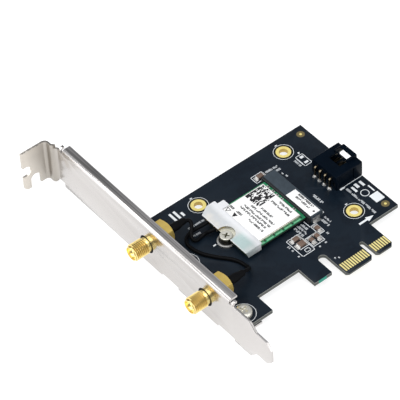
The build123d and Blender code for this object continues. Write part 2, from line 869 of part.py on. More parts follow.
high, low = antenna_heights
cable_high = [
    (spigot_end, high, bracket_middle),
    (shrink_end + 1.05, high, bracket_middle),
    (shrink_end + 1.35, high - 2.15, bracket_middle - 0.7),
    (shrink_end - 1.75, high - 4.85, coax_rest + 1.3),
    (shrink_end - 1.35, high - 6.85, coax_rest),
    (coax_end - 4.8, jack_places[0][1] + 2.3, coax_rest + 0.1),
    (coax_end - 3.0, jack_places[0][1], coax_height),
    (coax_end, jack_places[0][1], coax_height),
]
cable_low = [
    (spigot_end, low, bracket_middle),
    (shrink_end + 2.15, low, bracket_middle),
    (module_near - 2.25, low + 2.9, coax_rest + 0.15),
    (module_near - 3.05, low + 8.9, coax_rest),
    (module_near - 7.35, low + 14.0, coax_rest),
    (screw_x + 5.5, screw_low + screw_pitch + 0.2, coax_rest),
    (screw_x + 4.7, screw_low + screw_pitch + 6.6, coax_rest),
    (screw_x + 8.2, jack_places[1][1] + 2.0, coax_rest + 0.2),
    (coax_end - 3.6, jack_places[1][1], coax_height),
    (coax_end, jack_places[1][1], coax_height),
]

pieces = {
    "bracket": make_bracket(),
    "bracket_screws": make_bracket_screws(),
    "circuit_board": make_board(),
    "edge_contacts_front": make_edge_contacts(0),
    "edge_contacts_back": make_edge_contacts(board_low - plate_thickness),
    "plated_eyelets": make_eyelets(),
    "antenna_connector_1": make_antenna_body(high),
    "antenna_connector_2": make_antenna_body(low),
    "antenna_insulator_1": make_insulator(high),
    "antenna_insulator_2": make_insulator(low),
    "antenna_pin_1": make_pin(high),
    "antenna_pin_2": make_pin(low),
    "crimp_ferrules": make_ferrules(),
    "heat_shrink_1": make_shrink(high),
    "heat_shrink_2": make_shrink(low),
    "coax_cable_1": make_cable(cable_high),
    "coax_cable_2": make_cable(cable_low),
    "coax_plug_1": make_plug(jack_places[0]),
    "coax_plug_2": make_plug(jack_places[1]),
    "antenna_jacks": make_jacks(),
    "module_board": make_module_board(),
    "module_contacts": make_module_contacts(),
    "module_shield": make_shield(),
    "module_chip": make_module_chip(),
    "module_label": make_module_label(),
    "module_standoff": make_standoff(),
    "module_screw": make_module_screw(),
    "plug_cover": make_cover(),
    "socket_housing": make_socket_housing(),
    "socket_contacts": make_socket_contacts(),
    "socket_tabs": make_socket_tabs(),
    "socket_sticker": make_sticker(),
    "header_housing": make_header_housing(),
    "header_pins": make_header_pins(),
    "header_solder": make_header_solder(),
    "capacitor_bodies": make_chip_bodies(capacitor_places, chip_height),
    "capacitor_caps": make_chip_caps(capacitor_places, chip_height),
}

os.makedirs("parts", exist_ok=True)
for name, piece in pieces.items():
    export_step(piece, "parts/" + name + ".step")
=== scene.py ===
import bpy, bmesh, math, random
from mathutils import Matrix, Vector


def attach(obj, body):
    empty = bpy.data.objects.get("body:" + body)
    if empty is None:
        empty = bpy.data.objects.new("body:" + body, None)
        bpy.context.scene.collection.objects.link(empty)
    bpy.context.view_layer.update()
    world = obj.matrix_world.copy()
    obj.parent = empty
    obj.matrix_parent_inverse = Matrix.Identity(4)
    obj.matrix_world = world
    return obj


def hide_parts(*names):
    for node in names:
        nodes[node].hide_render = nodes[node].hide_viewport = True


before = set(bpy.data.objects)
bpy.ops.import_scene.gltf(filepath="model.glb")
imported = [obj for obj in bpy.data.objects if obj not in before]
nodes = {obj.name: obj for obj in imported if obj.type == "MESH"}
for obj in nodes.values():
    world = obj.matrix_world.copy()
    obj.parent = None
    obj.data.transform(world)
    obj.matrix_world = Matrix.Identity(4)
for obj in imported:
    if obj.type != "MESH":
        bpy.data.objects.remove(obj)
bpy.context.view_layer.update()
mm = 0.001
print("frame loaded:", len(nodes), "solids")


# camera, fitted to the slot bracket and the card edge
cameraView = {
    "azimuth": -36.38,
    "elevation": 46.99,
    "roll": -3.68,
    "distance": 869.9,       # mm
    "aim": (29.1, 46.6, 0),  # mm
    "lens": 227.1,
}


def placeCamera(view):
    a, e, r = (math.radians(view[k]) for k in ("azimuth", "elevation", "roll"))
    back = Vector((math.sin(a) * math.cos(e), -math.cos(a) * math.cos(e), math.sin(e)))
    right = Vector((0, 0, 1)).cross(back).normalized()
    up = back.cross(right)
    turnedRight = right * math.cos(r) + up * math.sin(r)
    turnedUp = up * math.cos(r) - right * math.sin(r)
    turn = Matrix((turnedRight, turnedUp, back)).transposed().to_4x4()
    data = bpy.data.cameras.new("cardCamera")
    data.lens = view["lens"]
    data.sensor_width = 36
    data.clip_start, data.clip_end = 0.01, 20
    camera = bpy.data.objects.new("cardCamera", data)
    camera.matrix_world = Matrix.Translation((Vector(view["aim"]) + back * view["distance"]) * mm) @ turn
    bpy.context.scene.collection.objects.link(camera)
    bpy.context.scene.camera = camera


placeCamera(cameraView)
print("camera placed")


# shader maths: one socket, and the nodes that start from it
class Wire:
    def __init__(self, tree, socket=None):
        self.tree = tree
        self.socket = socket

    def node(self, kind, settings, sockets, out=0):
        made = self.tree.nodes.new(kind)
        for key, value in settings.items():
            setattr(made, key, value)
        for key, value in sockets.items():
            if isinstance(value, Wire):
                self.tree.links.new(value.socket, made.inputs[key])
            else:
                made.inputs[key].default_value = value
        return Wire(self.tree, made.outputs[out])

    def maths(self, operation, first, second=0.0):
        return self.node("ShaderNodeMath", {"operation": operation}, {0: first, 1: second})

    def __add__(self, other):
        return self.maths("ADD", self, other)

    def __radd__(self, other):
        return self.maths("ADD", other, self)

    def __sub__(self, other):
        return self.maths("SUBTRACT", self, other)

    def __rsub__(self, other):
        return self.maths("SUBTRACT", other, self)

    def __mul__(self, other):
        return self.maths("MULTIPLY", self, other)

    def __rmul__(self, other):
        return self.maths("MULTIPLY", other, self)

    def __gt__(self, other):
        return self.maths("GREATER_THAN", self, other)

    def __lt__(self, other):
        return self.maths("LESS_THAN", self, other)

    def __abs__(self):
        return self.maths("ABSOLUTE", self)


def startFinish(name, fixed):
    material = bpy.data.materials.new(name)
    material.use_nodes = True
    shader = material.node_tree.nodes["Principled BSDF"]
    for key, value in fixed.items():
        shader.inputs[key].default_value = value
    place = Wire(material.node_tree).node("ShaderNodeTexCoord", {}, {}, "Object")
    return material, shader, place


def axisOf(vector, axis):
    return vector.node("ShaderNodeSeparateXYZ", {}, {"Vector": vector}, axis)


def stretched(place, scale):
    return place.node("ShaderNodeMapping", {}, {"Vector": place, "Scale": scale})


def noise(place, scale, detail=3.0, rough=0.5):
    return place.node("ShaderNodeTexNoise", {}, {"Vector": place, "Scale": scale, "Detail": detail, "Roughness": rough})


def spread(value, low, high, start=0.0, end=1.0):
    sockets = {"Value": value, "From Min": low, "From Max": high, "To Min": start, "To Max": end}
    return value.node("ShaderNodeMapRange", {"clamp": True}, sockets)


def tint(factor, first, second):
    return factor.node("ShaderNodeMix", {"data_type": "RGBA"}, {0: factor, 6: first, 7: second}, 2)


def feed(shader, height=None, strength=0.1, depth=0.00005, **wires):
    names = {"colour": "Base Color", "rough": "Roughness", "metal": "Metallic", "alpha": "Alpha"}
    for key, wire in wires.items():
        wire.tree.links.new(wire.socket, shader.inputs[names[key]])
    if height is not None:
        bump = height.node("ShaderNodeBump", {}, {"Strength": strength, "Distance": depth, "Height": height})
        bump.tree.links.new(bump.socket, shader.inputs["Normal"])


def inMetres(lengths):
    return tuple(v * mm for v in lengths)


def rgb(colour, gain=1.0):
    return tuple(min(1.0, c * gain) for c in colour[:3]) + (1.0,)


# finishes, one for each slot of the record
# plated steel, with light and shade painted into its colour: painted highlights on the fold, painted reflections and
# shade on the face, flange and tab
nickel = {
    "colour": (0.588, 0.565, 0.55),
    "rough": 0.23,
    "grain": (7000, 160, 7000),
    "smudge": 60,
    "streak": (1700, 18, 1700),
    "run": (20, 68),             # y in mm, from the lower end to the upper end
    "face": (0.9, 0.99),         # painted shade on the outer face: gain at the lower end and upper end
    "tongue": (-20, 12, 0.14),   # y in mm, and the painted light that the lowest end gains
    "fold": (1.12, 1.4),         # painted highlight on the fold, next to the face: gain at each end
    "turn": (0.72, 1.62),        # painted highlight on the fold, next to the flange: gain at each end
    "flange": (1.42, 0.95),      # painted reflection on the flange's flat: gain at each end
    "flangeReach": (1.5, 3.3),   # x in mm
    # painted shade across the flange's flat, darker next to the fold
    "flangeAcross": (0.88, 1.06),
    "tabFrom": (86.5, 89.5),     # y in mm
    "tabReach": (-10.5, -2.0),   # x in mm
    "tab": (1.1, 0.74),          # painted light and shade on the tab: gain at the outer end and at the neck
    # warm painted reflection on the tab
    "tabTint": (1.0, 0.97, 0.9),
    "outward": (-0.99, -0.78),   # how far a face looks out, on the face and off it, for the painted light
    "upward": {"fold": (0.1, 0.45), "turn": (0.5, 0.85), "flat": (0.93, 0.99)},
}


# plated steel: grain and smudges, with light and shade painted by facing and by place
def nickelFinish(look):
    material, shader, place = startFinish("platedSteel", {"Metallic": 1.0})
    grain = noise(stretched(place, look["grain"]), 1.0, 4.0)
    smudge = noise(place, look["smudge"], 4.0, 0.6)
    x, y = (axisOf(place, axis) for axis in "XY")
    normal = place.node("ShaderNodeNewGeometry", {}, {}, "Normal")
    up = axisOf(normal, "Z")
    out = axisOf(normal, "X")
    streak = noise(stretched(place, look["streak"]), 1.0, 3.0)
    low, high = inMetres(look["run"])
    fold, turn, flat = (spread(up, *look["upward"][key]) for key in ("fold", "turn", "flat"))
    face = spread(out, *look["outward"], 1.0, 0.0)
    onTab = spread(y, *inMetres(look["tabFrom"]))
    parts = ((face, "face"), (fold - turn, "fold"), (turn - flat, "turn"), (flat, "flange"))
    # painted light: face, fold and flange each gain along the bracket, and the face gains more at the tongue
    bright = 1 + sum(mask * (spread(y, low, high, *look[key]) - 1) for mask, key in parts)
    start, end, gained = look["tongue"]
    bright = bright + face * spread(y, start * mm, end * mm, gained, 0.0)
    across = spread(x, *inMetres(look["flangeReach"]), *look["flangeAcross"])
    # painted light and shade on the tab, lighter at its outer end and shaded towards its neck
    shade = 1 + onTab * (spread(x, *inMetres(look["tabReach"]), *look["tab"]) - 1)
    plain = tint(smudge * 0.6 + grain * 0.4, rgb(look["colour"], 0.92), rgb(look["colour"], 1.08))
    # warm painted reflection on the tab
    warm = place.node("ShaderNodeVectorMath", {"operation": "MULTIPLY"}, {0: plain, 1: look["tabTint"]})
    gain = bright * shade * (1 + flat * (across + (streak - 0.5) * 2.2 - 1))
    toned = place.node("ShaderNodeVectorMath", {"operation": "SCALE"}, {0: tint(onTab, plain, warm), "Scale": gain})
    feed(
        shader, height=grain, strength=0.04, depth=0.00002, colour=toned,
        rough=look["rough"] + flat * 0.1 + onTab * 0.18 + (grain - 0.5) * 0.16 + (smudge - 0.5) * 0.14,
    )
    return material


screwSteel = {"colour": (0.82, 0.80, 0.72), "rough": 0.34, "metal": 0.72}


def turnedFinish(name, look):
    material, shader, place = startFinish(name, {"Metallic": look["metal"]})
    fleck = noise(place, 9000, 3.0)
    cloud = noise(place, 350, 3.0)
    plain = tint(cloud, rgb(look["colour"], 0.84), rgb(look["colour"], 1.08))
    # painted shade inside a housing
    if "inside" in look:
        x = axisOf(place, "X")
        plain = tint(spread(x, *inMetres(look["inside"])), plain, rgb(look["colour"], look["insideGain"]))
    if "fingers" in look:
        rule = look["fingers"]
        x = axisOf(place, "X")
        near, far = inMetres(rule["starts"])
        along = (x - near - (x > rule["between"] * mm) * (far - near)) * (1 / (rule["pitch"] * mm))
        beside = abs(along.maths("FRACT", along) - rule["half"])
        plain = tint(spread(beside, *rule["edge"]), plain, rgb(look["edge"]))
    # painted shade below a height, in a recess and under a rim
    if "below" in look:
        height = axisOf(place, "Z")
        under = spread(height, *inMetres(look["below"]), 1.0, 0.0)
        plain = tint(under, plain, rgb(look["shadow"]))
    # painted shadow round a middle, under a head
    if "core" in look:
        x, y = (axisOf(place, axis) for axis in "XY")
        across, along = x - look["middle"][0] * mm, y - look["middle"][1] * mm
        square = across * across + along * along
        inner = spread(square.maths("SQRT", square), *inMetres(look["core"]), 1.0, 0.0)
        plain = tint(inner, plain, rgb(look["shadow"]))
    # painted shade on upright walls
    if "wall" in look:
        normal = place.node("ShaderNodeNewGeometry", {}, {}, "Normal")
        level = abs(axisOf(normal, "Z"))
        plain = tint(level < 0.5, plain, rgb(look["wall"]))
    feed(
        shader, height=fleck, strength=0.06, depth=0.00002, colour=plain,
        rough=look["rough"] + (fleck - 0.5) * 0.16 + (cloud - 0.5) * 0.1,
    )
    return material


boardLook = {
    "mask": (0.0030, 0.0071, 0.0136),
    "pour": (0.0048, 0.0104, 0.0182),
    "core": (0.085, 0.09, 0.082),       # cut edge, middle of the laminate
    "skin": (0.27, 0.275, 0.262),       # cut edge, next to each face
    "middle": -0.785,                   # mm
    "skinDepth": (0.42, 0.6),           # mm from the middle
    "rough": 0.36,
    "gloss": 0.28,
    "trackPitch": 620,
    "greenEdge": ((35.7, 39.2), -7.5),  # mm, x of the foot's lower edge and y above it
    "green": (0.03, 0.26, 0.19),
}
moduleLook = {
    "mask": (0.018, 0.18, 0.08),
    "pour": (0.03, 0.27, 0.12),
    # dark cut edge: the laminate's own colour, darkened further as painted shade where the film overhangs it
    "core": (0.018, 0.03, 0.018),
    "skin": (0.028, 0.06, 0.034),
    "middle": 1.9,
    "skinDepth": (0.2, 0.32),
    "rough": 0.34,
    "gloss": 0.45,
    "trackPitch": 1500,
}


# solder mask over copper tracks, with bare laminate on the cut edges
def boardFinish(name, look):
    material, shader, place = startFinish(name, {"Specular IOR Level": look["gloss"]})
    normal = place.node("ShaderNodeNewGeometry", {}, {}, "Normal")
    upright = abs(axisOf(normal, "Z"))
    side = upright < 0.6
    cells = place.node(
        "ShaderNodeTexVoronoi", {"distance": "CHEBYCHEV", "feature": "F1"},
        {"Vector": stretched(place, (1, 1, 0.0)), "Scale": look["trackPitch"], "Randomness": 0.55},
    )
    tracks = spread(abs(cells - 0.34), 0.02, 0.08, 1.0, 0.0)
    pour = spread(noise(place, 95, 2.0), 0.47, 0.53)
    copper = tracks.maths("MAXIMUM", tracks, pour)
    fibre = noise(stretched(place, (2600, 2600, 9000)), 1.0, 3.0)
    height = axisOf(place, "Z")
    skin = spread(abs(height - look["middle"] * mm), *inMetres(look["skinDepth"]))
    face = tint(copper, rgb(look["mask"]), rgb(look["pour"]))
    dim = tint(skin, rgb(look["core"], 0.7), rgb(look["skin"], 0.8))
    lit = tint(skin, rgb(look["core"], 1.3), rgb(look["skin"], 1.2))
    edge = tint(fibre, dim, lit)
    if "greenEdge" in look:
        x, y = (axisOf(place, axis) for axis in "XY")
        (start, end), below = look["greenEdge"]
        edge = tint((x > start * mm) * (x < end * mm) * (y < below * mm), edge, rgb(look["green"]))
    feed(
        shader, height=copper * 0.8 + fibre * 0.2, strength=0.12, depth=0.00003, colour=tint(side, face, edge),
        rough=look["rough"] + side * 0.3 + (fibre - 0.5) * 0.1,
    )
    return material


# gold, with painted shade on its upright walls
goldLook = {"colour": (1.0, 0.80, 0.27), "rough": 0.42, "metal": 0.32, "wall": (0.58, 0.41, 0.10)}
fingerLook = {
    "colour": (1.0, 0.84, 0.36), "rough": 0.4, "metal": 0.3,
    "fingers": {"pitch": 1.0, "starts": (45.375, 58.675), "between": 57.0, "half": 0.35, "edge": (0.23, 0.34)},   # mm
    "edge": (0.30, 0.205, 0.06),
}
crimpLook = {"colour": (0.52, 0.44, 0.29), "rough": 0.36, "metal": 1.0}
tinLook = {"colour": (0.76, 0.75, 0.73), "rough": 0.36, "metal": 0.75}
tabLook = {"colour": (0.46, 0.46, 0.45), "rough": 0.4, "metal": 1.0}
moduleScrewAt = (23.75, 25.8)   # mm, axis of the screw at the module's end
postLook = {
    "colour": (0.56, 0.555, 0.54), "rough": 0.36, "metal": 0.9,
    "core": (2.55, 2.8), "middle": moduleScrewAt, "shadow": (0.035, 0.034, 0.033),   # mm, painted shadow under the head
}
lowHeadLook = {
    "colour": (0.80, 0.785, 0.70), "rough": 0.4, "metal": 0.62,
    "below": (2.84, 2.96), "shadow": (0.075, 0.075, 0.045),   # mm, painted shade in the recess and on the head's lower rim
}
shieldLook = {"colour": (0.74, 0.69, 0.60), "rough": 0.4, "metal": 0.9}
pinLook = {
    "colour": (0.24, 0.20, 0.135), "rough": 0.22, "metal": 1.0,
    "inside": (68.6, 69.6), "insideGain": 0.16,   # x in mm, painted shade inside the housing
}

plasticLooks = {
    "whiteInsulator": {
        "colour": (0.86, 0.85, 0.81), "rough": 0.42, "spread": 0.06, "fine": 5200, "bump": 0.06, "gloss": 0.45,
    },
    "heatShrink": {
        "colour": (0.004, 0.0042, 0.005), "rough": 0.6, "spread": 0.5, "fine": 3800, "bump": 0.16, "gloss": 0.06,
    },
    "coaxJacket": {
        "colour": (0.003, 0.0032, 0.004), "rough": 0.48, "spread": 0.45, "fine": 4200, "bump": 0.12, "gloss": 0.07,
    },
    "chipBlack": {
        "colour": (0.024, 0.024, 0.025), "rough": 0.55, "spread": 0.5, "fine": 8200, "bump": 0.25, "gloss": 0.4,
    },
    "socketBlack": {
        "colour": (0.034, 0.048, 0.062), "rough": 0.5, "spread": 0.65, "fine": 6400, "bump": 0.14, "gloss": 0.45,
        "mouth": 50.75, "mouthGain": 0.12,   # x in mm, painted shade on the mouth up to here
    },
    "headerBlack": {
        "colour": (0.0006, 0.0032, 0.0078), "rough": 0.4, "spread": 0.5, "fine": 5200, "bump": 0.14, "gloss": 0.055,
    },
    "ceramic": {
        "colour": (0.155, 0.102, 0.078), "rough": 0.5, "spread": 0.25, "fine": 7800, "bump": 0.2, "gloss": 0.45,
    },
    "paperLabel": {
        "colour": (0.90, 0.90, 0.89), "rough": 0.58, "spread": 0.05, "fine": 2600, "bump": 0.1, "gloss": 0.4,
    },
    "paleSolder": {
        "colour": (0.80, 0.78, 0.66), "rough": 0.4, "spread": 0.15, "fine": 5000, "bump": 0.2, "gloss": 0.5,
    },
    "whiteInk": {
        "colour": (0.76, 0.79, 0.81), "rough": 0.6, "spread": 0.12, "fine": 4000, "bump": 0.1, "gloss": 0.35,
    },
    "greyInk": {
        "colour": (0.46, 0.48, 0.50), "rough": 0.6, "spread": 0.2, "fine": 4000, "bump": 0.1, "gloss": 0.3,
    },
    "blackInk": {
        "colour": (0.018, 0.018, 0.02), "rough": 0.6, "spread": 0.3, "fine": 4000, "bump": 0.1, "gloss": 0.3,
    },
    "bareLaminate": {
        "colour": (0.14, 0.11, 0.045), "rough": 0.5, "spread": 0.2, "fine": 5000, "bump": 0.1, "gloss": 0.45,
    },
    "darkLaminate": {
        "colour": (0.004, 0.0045, 0.003), "rough": 0.42, "spread": 0.3, "fine": 5000, "bump": 0.1, "gloss": 0.35,
    },
    "paleMask": {
        "colour": (0.15, 0.46, 0.26), "rough": 0.36, "spread": 0.2, "fine": 3000, "bump": 0.1, "gloss": 0.5,
    },
}


def plasticFinish(name):
    look = plasticLooks[name]
    material, shader, place = startFinish(name, {"Specular IOR Level": look["gloss"]})
    fleck = noise(place, look["fine"], 3.0)
    cloud = noise(place, look["fine"] * 0.06, 3.0)
    mixed = fleck * 0.45 + cloud * 0.55
    colour = tint(mixed, rgb(look["colour"], 1 - look["spread"]), rgb(look["colour"], 1 + look["spread"]))
    # painted shade on the socket's mouth
    if "mouth" in look:
        x = axisOf(place, "X")
        colour = tint(x < look["mouth"] * mm, colour, rgb(look["colour"], look["mouthGain"]))
    feed(
        shader, height=fleck, strength=look["bump"], depth=0.00004, colour=colour,
        rough=look["rough"] + (mixed - 0.5) * 0.22,
    )
    return material


filmLook = {
    "colour": (0.62, 0.64, 0.65),
    "warm": (0.76, 0.72, 0.65),
    "cool": (0.45, 0.59, 0.58),
    "mottle": (0.52, 0.56, 0.60),
    "overLabel": (0.80, 0.81, 0.83),
    "labelFrom": (27.0, 28.9),    # x in mm where the label lies close below
    "edge": (23.0, 23.25),        # x in mm of the painted highlight along the front edge
    "coolSpan": (15.2, 17.0, 21.5, 23.5),   # y in mm: starts, full, fades, ends
    "thin": 0.8,                  # share of light held back where only the board lies below
    "thick": 0.96,
    "thinToThick": (16.5, 20.5),  # y in mm
    "plugsAcross": (24.0, 27.0),  # x in mm
    "plugsMiddle": 31.5,          # y in mm
    "plugsReach": (4.0, 6.5),     # mm to each side of it
    "rough": 0.3,
}


# milky film over the antenna plugs, warmer where the gold lies close below, with a painted highlight along its front
# edge
def filmFinish(look):
    material, shader, place = startFinish("milkyFilm", {"Specular IOR Level": 0.5})
    x, y = (axisOf(place, axis) for axis in "XY")
    cloud = noise(place, 210, 3.0)
    ripple = noise(place, 420, 2.0)
    nearX = spread(x, *inMetres(look["plugsAcross"]), 1.0, 0.0)
    nearY = spread(abs(y - look["plugsMiddle"] * mm), *inMetres(look["plugsReach"]), 1.0, 0.0)
    dense = spread(y, *inMetres(look["thinToThick"]), look["thin"], look["thick"])
    patch = spread(noise(place, 330, 2.0), 0.42, 0.68, 0.0, 0.55)
    milky = tint(nearX * nearY * 0.5 + cloud * 0.3, rgb(look["colour"]), rgb(look["warm"]))
    milky = tint(patch, milky, rgb(look["mottle"]))
    start, full, fade, end = inMetres(look["coolSpan"])
    greenish = spread(y, start, full, 0.3, 0.85) * spread(y, fade, end, 1.0, 0.0)
    milky = tint(greenish, milky, rgb(look["cool"]))
    # lighter where the label lies close below, and a painted highlight along the front edge
    bright = spread(x, *inMetres(look["labelFrom"])) + spread(x, *inMetres(look["edge"]), 0.9, 0.0)
    feed(
        shader, height=ripple, strength=0.22, depth=0.0001, colour=tint(bright, milky, rgb(look["overLabel"])),
        rough=look["rough"] + (ripple - 0.5) * 0.16,
        alpha=dense + (cloud - 0.5) * 0.06,
    )
    return material


antennaAxes = {"Upper": ("1", 38.85), "Lower": ("2", 7.7)}   # the solids' number, y in mm
antennaHeight = 5.1
connectorGold = {
    "colour": (0.98, 0.77, 0.31),
    # painted shade down in the thread's grooves
    "groove": (0.45, 0.265, 0.055),
    "thread": (-6.55, -1.0),       # x in mm
    "grooveRadius": (2.66, 2.84),
    "bore": 2.5,
    "bodyFrom": (0.85, 0.95),
    "body": (1.0, 0.69, 0.185),
    "bodyMetal": 0.6,
    "barrelMetal": 0.85,
    "rough": 0.22,
}


# plated gold, with painted shade down in the thread's grooves, and duller on the square body
def connectorFinish(look):
    material, shader, place = startFinish("connectorGold", {})
    x, y, z = (axisOf(place, axis) for axis in "XYZ")
    first, second = (abs(y - axis * mm) for number, axis in antennaAxes.values())
    across = first.maths("MINIMUM", first, second)
    above = z - antennaHeight * mm
    square = across * across + above * above
    radius = square.maths("SQRT", square)
    threaded = (x > look["thread"][0] * mm) * (x < look["thread"][1] * mm) * (radius > look["bore"] * mm)
    # painted shade in the thread's grooves
    deep = spread(radius, *inMetres(look["grooveRadius"]), 1.0, 0.0) * threaded
    fleck = noise(place, 9000, 3.0)
    cloud = noise(place, 350, 3.0)
    body = spread(x, *inMetres(look["bodyFrom"]))
    plain = tint(cloud, rgb(look["colour"], 0.86), rgb(look["colour"], 1.06))
    plain = tint(body, plain, tint(cloud, rgb(look["body"], 0.8), rgb(look["body"], 1.1)))
    feed(
        shader, height=fleck, strength=0.06, depth=0.00002, colour=tint(deep, plain, rgb(look["groove"])),
        rough=look["rough"] + body * 0.1 + (fleck - 0.5) * 0.16 + (cloud - 0.5) * 0.1,
        metal=look["barrelMetal"] + body * (look["bodyMetal"] - look["barrelMetal"]),
    )
    return material


finishes = {
    "plated_steel": nickelFinish(nickel),
    "screw_steel": turnedFinish("screwSteel", screwSteel),
    "board": boardFinish("darkBoard", boardLook),
    "gold": turnedFinish("contactGold", goldLook),
    "connector_gold": connectorFinish(connectorGold),
    "white_insulator": plasticFinish("whiteInsulator"),
    "crimp": turnedFinish("crimpBrass", crimpLook),
    "heat_shrink": plasticFinish("heatShrink"),
    "coax_jacket": plasticFinish("coaxJacket"),
    "module_green": boardFinish("greenBoard", moduleLook),
    "shield_steel": turnedFinish("shieldTin", shieldLook),
    "chip": plasticFinish("chipBlack"),
    "label": plasticFinish("paperLabel"),
    "cover": filmFinish(filmLook),
    "socket": plasticFinish("socketBlack"),
    "header": plasticFinish("headerBlack"),
    "tin": turnedFinish("brightTin", tinLook),
    "ceramic": plasticFinish("ceramic"),
}
inkNames = ("whiteInk", "greyInk", "blackInk", "bareLaminate", "darkLaminate", "paleMask", "paleSolder")
inks = {name: plasticFinish(name) for name in inkNames}
pinFinish = turnedFinish("pinAlloy", pinLook)
tabFinish = turnedFinish("dullTin", tabLook)
fingerFinish = turnedFinish("fingerGold", fingerLook)
postFinish = turnedFinish("postSteel", postLook)
lowHeadFinish = turnedFinish("lowHeadSteel", lowHeadLook)
print("finishes:", len(finishes) + len(inks) + 5)


# every piece ends here: mesh or curve to a named object that rides on the card
def finishPiece(name, data, slot, replaced=(), material=None):
    piece = bpy.data.objects.new(name, data)
    bpy.context.scene.collection.objects.link(piece)
    data.materials.append(material or finishes[slot])
    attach(piece, "root")
    if replaced:
        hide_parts(*replaced)
    return piece


def meshPiece(name, bm, slot, replaced=(), smooth=34, material=None):
    mesh = bpy.data.meshes.new(name)
    bm.to_mesh(mesh)
    bm.free()
    mesh.shade_smooth()
    mesh.set_sharp_from_angle(angle=math.radians(smooth))
    return finishPiece(name, mesh, slot, replaced, material)


# coax pigtails: control points in mm, as in the part's source
coaxLeads = {
    "coaxLeadUpper": {
        "node": "coax_cable_1",
        "diameter": 1.37,
        "points": [
            (13.96, 38.85, 5.1), (17.61, 38.85, 5.1), (17.91, 36.70, 4.4), (14.81, 34.00, 2.035),
            (15.21, 32.00, 0.735), (19.65, 32.9, 0.835), (21.45, 30.6, 3.035), (24.45, 30.6, 3.035),
        ],
    },
    "coaxLeadLower": {
        "node": "coax_cable_2",
        "diameter": 1.37,
        "length": 48.4,
        "points": [
            (13.96, 7.7, 5.1), (18.71, 7.7, 5.1), (21.5, 10.6, 0.885), (20.7, 16.6, 0.735), (16.4, 21.7, 0.735),
            (12.9, 27.2, 0.735), (12.1, 33.6, 0.735), (15.6, 36.6, 0.935), (20.85, 34.6, 3.035), (24.45, 34.6, 3.035),
        ],
    },
}


def makeLead(name, lead):
    curve = bpy.data.curves.new(name, "CURVE")
    curve.dimensions = "3D"
    curve.resolution_u = 10
    curve.bevel_depth = lead["diameter"] / 2 * mm
    curve.bevel_resolution = 5
    curve.use_fill_caps = True
    line = curve.splines.new("NURBS")
    line.points.add(len(lead["points"]) - 1)
    for point, place in zip(line.points, lead["points"]):
        point.co = (*(v * mm for v in place), 1.0)
    line.order_u = 3
    line.use_endpoint_u = True
    line.use_smooth = True
    return finishPiece(name, curve, "coax_jacket", [lead["node"]])


leads = {name: makeLead(name, lead) for name, lead in coaxLeads.items()}
print("coax leads laid")


# solids kept in shape: merged copy, eased edges, smooth faces
easedSolids = {
    "bracketSheet": {"node": "bracket", "slot": "plated_steel", "ease": 0.2},
    "bracketScrewPair": {"node": "bracket_screws", "slot": "screw_steel", "ease": 0.06},
    "darkBoardPanel": {"node": "circuit_board", "slot": "board", "ease": 0.04},
    "insulatorUpper": {"node": "antenna_insulator_1", "slot": "white_insulator", "ease": 0.05},
    "insulatorLower": {"node": "antenna_insulator_2", "slot": "white_insulator", "ease": 0.05},
    "centrePinUpper": {"node": "antenna_pin_1", "slot": "connector_gold", "ease": 0.05},
    "centrePinLower": {"node": "antenna_pin_2", "slot": "connector_gold", "ease": 0.05},
    "crimpPair": {"node": "crimp_ferrules", "slot": "crimp", "ease": 0.05},
    "moduleJacks": {"node": "antenna_jacks", "slot": "gold", "ease": 0.0},
    "modulePanel": {"node": "module_board", "slot": "module_green", "ease": 0.03},
    "shieldCan": {"node": "module_shield", "slot": "shield_steel", "ease": 0.09},
    "moduleChip": {"node": "module_chip", "slot": "chip", "ease": 0.04},
    "labelSheet": {"node": "module_label", "slot": "label", "ease": 0.02},
    "socketBody": {"node": "socket_housing", "slot": "socket", "ease": 0.07},
    "stickerSheet": {"node": "socket_sticker", "slot": "label", "ease": 0.02},
    "headerBody": {"node": "header_housing", "slot": "header", "ease": 0.09},
    "capacitorBlocks": {"node": "capacitor_bodies", "slot": "ceramic", "ease": 0.04},
    "capacitorEnds": {"node": "capacitor_caps", "slot": "tin", "ease": 0.05},
    "headerPins": {"node": "header_pins", "slot": "tin", "ease": 0.04, "material": pinFinish},
    "socketTabs": {"node": "socket_tabs", "slot": "tin", "ease": 0.03, "material": tabFinish},
    "standoffPost": {"node": "module_standoff", "slot": "screw_steel", "ease": 0.04, "material": postFinish},
    "headerSolder": {"node": "header_solder", "slot": "tin", "ease": 0.0, "material": tabFinish},
    "plugUpper": {"node": "coax_plug_1", "slot": "connector_gold", "ease": 0.05, "material": finishes["crimp"]},
    "plugLower": {"node": "coax_plug_2", "slot": "connector_gold", "ease": 0.05, "material": finishes["crimp"]},
}
easing = {"flatUnder": 1.0, "sharpOver": 38, "segments": 2}   # degrees between faces


def solidCopy(node):
    bm = bmesh.new()
    bm.from_mesh(nodes[node].data)
    bmesh.ops.remove_doubles(bm, verts=bm.verts[:], dist=0.000001)
    return bm


def easeEdges(bm, ease):
    flat, bent = (math.radians(easing[key]) for key in ("flatUnder", "sharpOver"))
    bmesh.ops.dissolve_limit(bm, angle_limit=flat, verts=bm.verts[:], edges=bm.edges[:])
    sharp = [e for e in bm.edges if len(e.link_faces) == 2 and e.calc_face_angle(0.0) > bent]
    if ease > 0 and sharp:
        bmesh.ops.bevel(
            bm, geom=sharp, offset=ease * mm, offset_type="OFFSET", affect="EDGES", segments=easing["segments"],
            profile=0.5, material=-1, clamp_overlap=True, loop_slide=True,
        )


def easedCopy(name, node, slot, ease, material=None):
    bm = solidCopy(node)
    easeEdges(bm, ease)
    return meshPiece(name, bm, slot, [node], material=material)


for name, solid in easedSolids.items():
    easedCopy(name, **solid)
print("eased solids:", len(easedSolids))


# low-head screw at the module's end, its head drawn in
lowHeadScrew = {"middle": moduleScrewAt, "beyond": 1.4, "gain": 0.9, "ease": 0.05}


